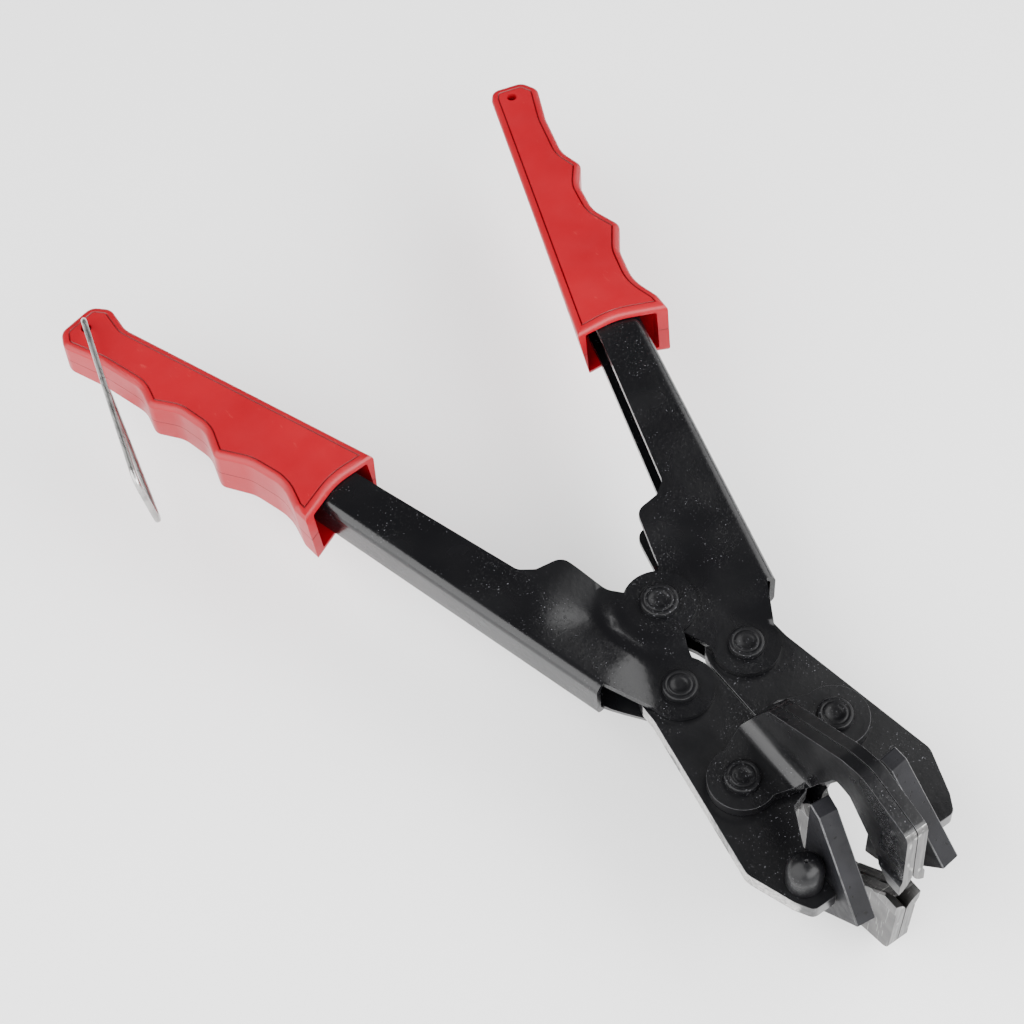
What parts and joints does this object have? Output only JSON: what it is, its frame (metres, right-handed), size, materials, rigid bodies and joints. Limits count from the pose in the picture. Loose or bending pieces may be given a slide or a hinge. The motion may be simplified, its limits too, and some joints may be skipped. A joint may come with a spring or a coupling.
{
  "type": "crimping plier",
  "caption": "Compound-leverage sheet-metal crimping plier with a split V beak, wedge dies, stamped arms, hollow grips and a wire bail.",
  "frame": {"origin": "centre of the bounding box at its base, handles fully open; the tool lies flat with its rear beak lowest", "axes": "+X across the tool toward the right arm, +Y from the beak toward the grips, +Z out of the front face and along every pivot"},
  "size_m": [0.2316, 0.3692, 0.0919],
  "materials": {
    "bracket_enamel": "gloss black enamel",
    "jaw_enamel": "gloss black enamel, worn edges",
    "arm_enamel": "gloss black enamel, worn edges",
    "rivet_enamel": "gloss black enamel",
    "ground_steel": "ground, scratched",
    "die_steel": "dark satin",
    "wire_steel": "drawn wire, satin",
    "grip_plastic": "satin red moulding"
  },
  "bodies": {
    "head": {"bracket_front_left": "bracket_enamel", "bracket_front_right": "bracket_enamel", "bracket_rear_left": "ground_steel", "bracket_rear_right": "ground_steel", "jaw_rivet_left": "rivet_enamel", "jaw_rivet_right": "rivet_enamel"},
    "left_jaw": {"jaw_left": "jaw_enamel", "die_left": "die_steel", "die_stud": "rivet_enamel"},
    "right_jaw": {"jaw_right": "jaw_enamel", "die_right": "die_steel"},
    "left_handle": {"handle_channel_left": "arm_enamel", "grip_left": "grip_plastic", "tail_rivet_left": "rivet_enamel", "main_pivot_rivet": "rivet_enamel", "main_pivot_spacer": "ground_steel"},
    "right_handle": {"handle_channel_right": "arm_enamel", "grip_right": "grip_plastic", "tail_rivet_right": "rivet_enamel"},
    "bail": {"bail_wire": "wire_steel"}
  },
  "joints": [
    {"name": "left_jaw_hinge", "type": "hinge", "parent": "head", "child": "left_jaw", "pos_m": [-0.01362, -0.12327, 0.04595], "axis": [0, 0, 1], "range_deg": [0, 8.5]},
    {"name": "right_jaw_hinge", "type": "hinge", "parent": "head", "child": "right_jaw", "pos_m": [0.02538, -0.12327, 0.04595], "axis": [0, 0, 1], "range_deg": [-8.5, 0]},
    {"name": "left_handle_hinge", "type": "hinge", "parent": "left_jaw", "child": "left_handle", "pos_m": [-0.00832, -0.08297, 0.04595], "axis": [0, 0, 1], "range_deg": [-21, 0]},
    {"name": "right_handle_hinge", "type": "hinge", "parent": "right_jaw", "child": "right_handle", "pos_m": [0.02008, -0.08297, 0.04595], "axis": [0, 0, 1], "range_deg": [0, 21]},
    {"name": "bail_hinge", "type": "hinge", "parent": "left_handle", "child": "bail", "pos_m": [-0.09305, 0.17604, 0.04595], "axis": [0, 0, 1], "range_deg": [-315, 14]}
  ],
  "couplings": [
    {"joint": "right_jaw_hinge", "follows": "left_jaw_hinge", "ratio": -1},
    {"joint": "left_handle_hinge", "follows": "left_jaw_hinge", "ratio": -2.441},
    {"joint": "right_handle_hinge", "follows": "left_jaw_hinge", "ratio": 2.441}
  ]
}
